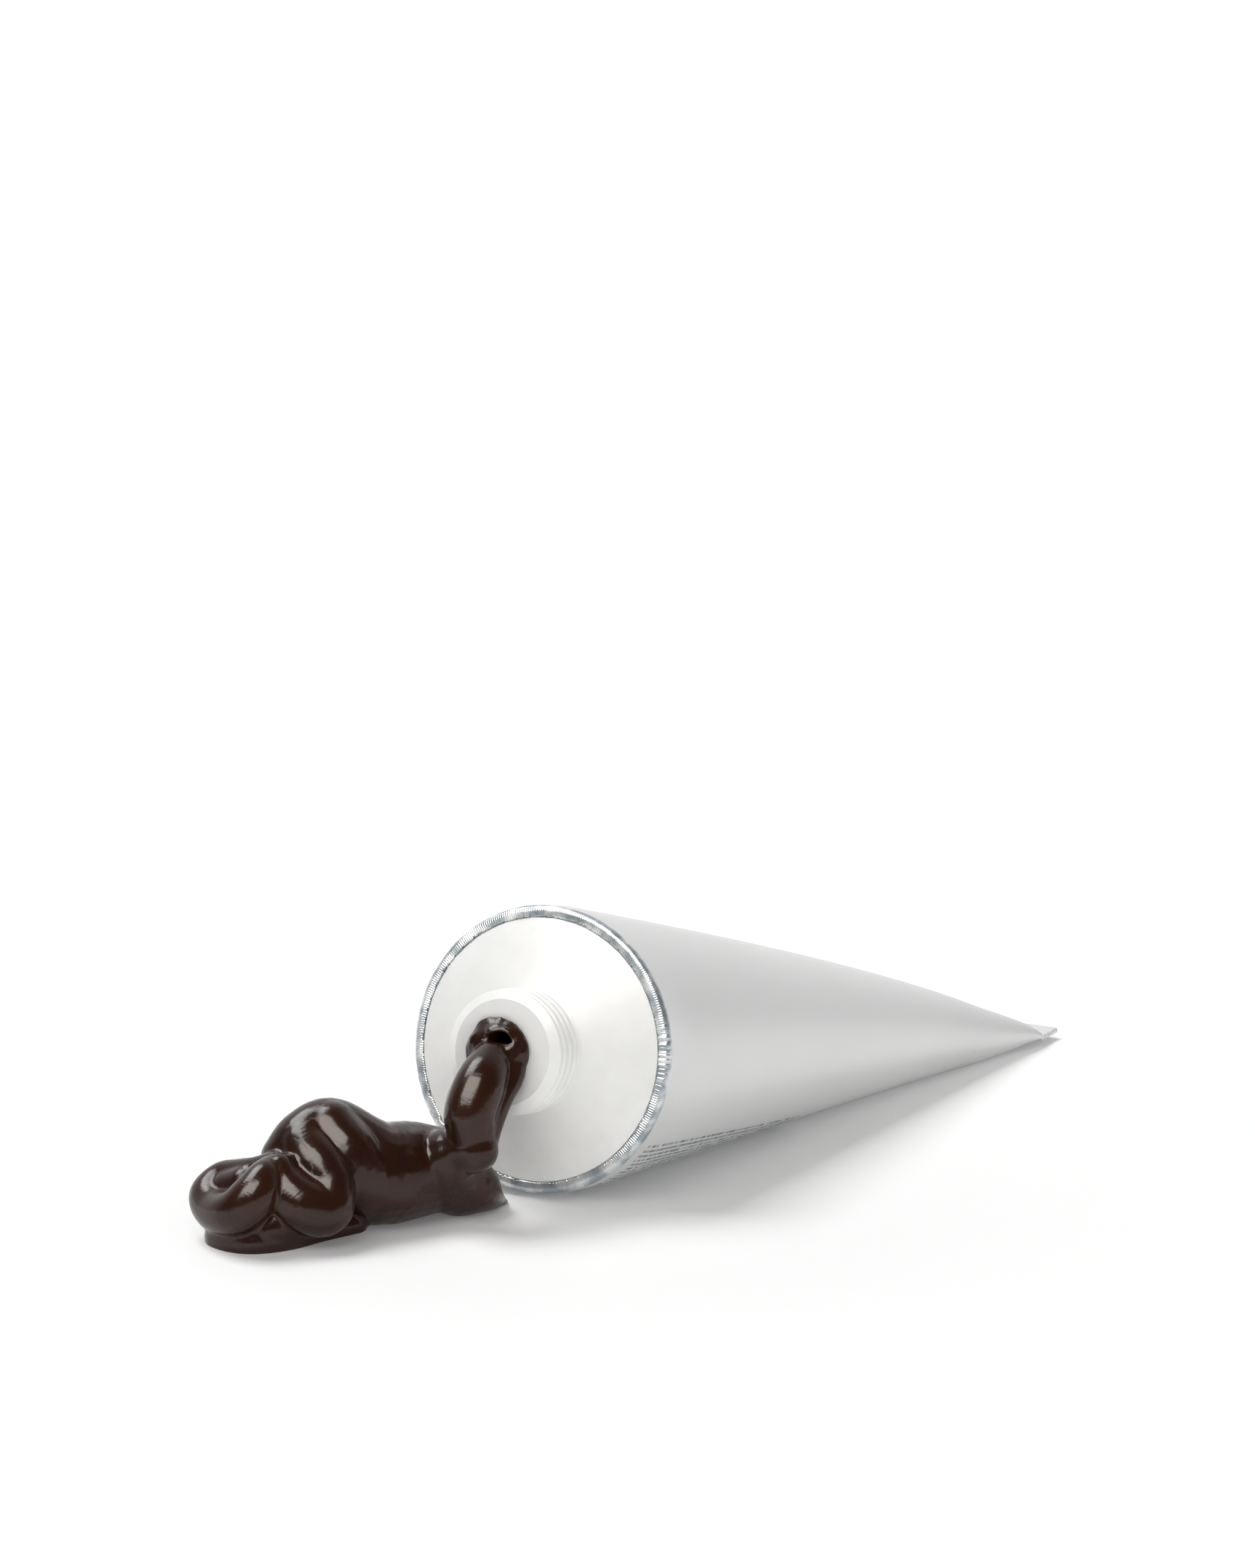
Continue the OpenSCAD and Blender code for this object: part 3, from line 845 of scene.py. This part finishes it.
hollow_shape = bmesh.new()
ball = bmesh.ops.create_icosphere(hollow_shape, subdivisions=4, radius=MM)["verts"]
for vert in ball:
    # Long, narrow, flat below and sloping down the way the strand goes
    x, y, z = vert.co / MM
    up = max(z, HOLLOW_BASE) * HOLLOW_HIGH - HOLLOW_SLOPE * x
    vert.co = (HOLLOW_AT + Vector((x * HOLLOW_LONG, y * HOLLOW_WIDE, up))) * MM
hollow_mesh = bpy.data.meshes.new("hollow")
hollow_shape.to_mesh(hollow_mesh)
hollow_shape.free()
hollow = bpy.data.objects.new("hollow", hollow_mesh)
bpy.context.collection.objects.link(hollow)

melted = with_modifiers("cream_melted", shape, [
    ("REMESH", {"mode": "VOXEL", "voxel_size": VOXEL * MM}),
    ("BOOLEAN", {"operation": "DIFFERENCE", "object": hollow}),
    ("REMESH", {"mode": "VOXEL", "voxel_size": VOXEL * MM}),
    ("SMOOTH", {"factor": 0.5, "iterations": 6})])
bpy.data.objects.remove(hollow)
print("melted skin", len(melted.vertices), "points")

# %% [markdown]
# ## Flow of the surface
# Fine wrinkles run round each rope, because the paste is pressed together along its length as
# it folds. To draw them, each point of the skin looks up the rope that it lies on, and keeps
# how far along that rope it is. The material reads this as an attribute. Points that the
# melting left below the floor are set down on it here.

# %% Along and around the ropes
NEXT_ROPE = 40.0  # keeps the ropes' stretches of the pattern apart
NEAREST = 6
spots = []
for number, line in enumerate(lines + collar):
    length = 0.0
    for k, spot in enumerate(line):
        if k:
            length += (Vector(spot[:3]) - Vector(line[k - 1][:3])).length
        ahead = Vector(line[min(k + 1, len(line) - 1)][:3]) - Vector(line[max(k - 1, 0)][:3])
        spots.append((Vector(spot[:3]), spot[3], length + NEXT_ROPE * number,
                      ahead.normalized()))
tree_of_spots = KDTree(len(spots))
for k, (at, _, _, _) in enumerate(spots):
    tree_of_spots.insert(at, k)
tree_of_spots.balance()

flow = melted.attributes.new("flow", "FLOAT", "POINT")
for vert in melted.vertices:
    at = vert.co / MM
    best = min(tree_of_spots.find_n(at, NEAREST),
               key=lambda hit: abs(hit[2] - spots[hit[1]][1]))
    centre, _, length, ahead = spots[best[1]]
    flow.data[vert.index].value = length + (at - centre).dot(ahead)
    if vert.co.z < 0:
        vert.co.z = 0.0
print("flow from", round(min(d.value for d in flow.data), 1), "to",
      round(max(d.value for d in flow.data), 1))

# %% [markdown]
# The part of the cream that nobody sees fills the neck and the sleeve. It is rolled from the
# same sheet as the sleeve, drawn in by the wall and a small clearance, so that the tube is
# full when the sleeve is taken away.

# %% Fill of the tube
CREAM_GAP = 0.3
WELD_GAP = 0.05
SKIRT_WALL = 1.0
SHOULDER_WALL = 1.2
NECK_WALL = 1.3
FILL_COLUMNS = 72
FILL_STEPS = 14
FILL_RISE_STEPS = 6
FILL_STOP = 3.0
LEAST_FILL = 0.1
THROAT_BACK = 4.2
fill_inset = WALL + CREAM_GAP
rim_r = SLEEVE_R - WALL - WELD_GAP - SKIRT_WALL - CREAM_GAP
throat_r = NECK_R - NECK_WALL - CREAM_GAP
# Round rows in the shoulder with a radius of their own, then rows that follow the sheet
round_rows = [(-mouth_h + THROAT_BACK, throat_r), (-CONE_RISE + SHOULDER_WALL, throat_r),
              (WALL + SHOULDER_WALL + CREAM_GAP, rim_r), (WALL + SKIRT_DEPTH + CREAM_GAP, rim_r)]
fill_rows = [(round_len, None)] + [(u, None) for u, _ in straight_rows(FILL_STEPS)]
fill_end = SLEEVE_LEN - FILL_STOP
fill_rows += [(fill_end - (fill_end - rise_start) * (1 - k / FILL_RISE_STEPS) ** 2, None)
              for k in range(1, FILL_RISE_STEPS + 1)]


def in_fill(row, s):
    """The fill's point at s: on a circle in the shoulder, inside the sheet further back."""
    u, r = row
    if r is not None:
        a = 2 * math.pi * s / GIRTH
        return lying(u, r * math.cos(a), r * math.sin(a))
    return lying(u, *on_sheet(u, s, fill_inset, fill_inset + LEAST_FILL))


shape = bmesh.new()
rolled(shape, round_rows + fill_rows, FILL_COLUMNS, in_fill)
bmesh.ops.remove_doubles(shape, verts=shape.verts, dist=DOUBLE_DIST)
bmesh.ops.holes_fill(shape, edges=[e for e in shape.edges if len(e.link_faces) == 1], sides=0)
shape.from_mesh(melted)
cream = finished("cream_rope", shape, [])
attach(cream, BODY)
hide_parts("cream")

# %% [markdown]
# ## Finish of the cream
# A wax paste in oil and pigment: dark chocolate brown, opaque apart from a hair of depth at
# thin edges, and glossy like a wet skin. The skin is broken by wrinkles finer than a third of
# a millimetre, which fray the edges of every highlight. They run across the rope, because the
# noise is read much faster along it than around it, and they come and go in patches.

# %% Brown wax paste
ALONG_SCALE = 3.2
ROUND_SCALE = 250.0
paste, tree = new_material("brown_wax_paste")
place = add(tree, "ShaderNodeTexCoord")
along = add(tree, "ShaderNodeAttribute", attribute_name="flow")
wrinkle_at = add(tree, "ShaderNodeCombineXYZ", {"X": along.outputs["Fac"]})
object_mm = add(tree, "ShaderNodeVectorMath", {0: place.outputs["Object"],
                                               1: (ROUND_SCALE,) * 3}, operation="MULTIPLY")
stretched = add(tree, "ShaderNodeVectorMath", {0: wrinkle_at.outputs["Vector"],
                                               1: (ALONG_SCALE, 0, 0)}, operation="MULTIPLY")
swept = add(tree, "ShaderNodeVectorMath", {0: stretched.outputs["Vector"],
                                           1: object_mm.outputs["Vector"]}, operation="ADD")
wrinkles = add(tree, "ShaderNodeTexNoise", {"Vector": swept.outputs["Vector"], "Scale": 1.0,
                                            "Detail": 3.0, "Roughness": 0.55})
fine = add(tree, "ShaderNodeTexNoise", {"Vector": place.outputs["Object"], "Scale": 2400.0,
                                        "Detail": 2.0})
patches = add(tree, "ShaderNodeTexNoise", {"Vector": place.outputs["Object"], "Scale": 140.0,
                                           "Detail": 1.0})
where = add(tree, "ShaderNodeValToRGB", {"Fac": patches.outputs["Fac"]},
            stops=[(0.42, 0.1), (0.66, 1.0)])
height = add(tree, "ShaderNodeMath", {0: wrinkles.outputs["Fac"], 1: where.outputs["Color"]},
             operation="MULTIPLY")
pits = add(tree, "ShaderNodeMath", {0: fine.outputs["Fac"], 1: 0.25,
                                    2: height.outputs["Value"]}, operation="MULTIPLY_ADD")
relief = add(tree, "ShaderNodeBump", {"Height": pits.outputs["Value"], "Strength": 0.15,
                                      "Distance": 0.00025})
brown = add(tree, "ShaderNodeValToRGB", {"Fac": patches.outputs["Fac"]},
            stops=[(0.3, linear("#29150d")), (0.7, linear("#321a10"))])
gloss = add(tree, "ShaderNodeMapRange", {"Value": fine.outputs["Fac"], "To Min": 0.15,
                                         "To Max": 0.24})
body = add(tree, "ShaderNodeBsdfPrincipled",
           {"Base Color": brown.outputs["Color"], "Roughness": gloss.outputs["Result"],
            "IOR": 1.42, "Subsurface Weight": 0.08,
            "Subsurface Radius": (0.0006, 0.0003, 0.0002), "Subsurface Scale": 1.0,
            "Normal": relief.outputs["Normal"]})
add(tree, "ShaderNodeOutputMaterial", {"Surface": body.outputs["BSDF"]})
cream.data.materials.append(paste)
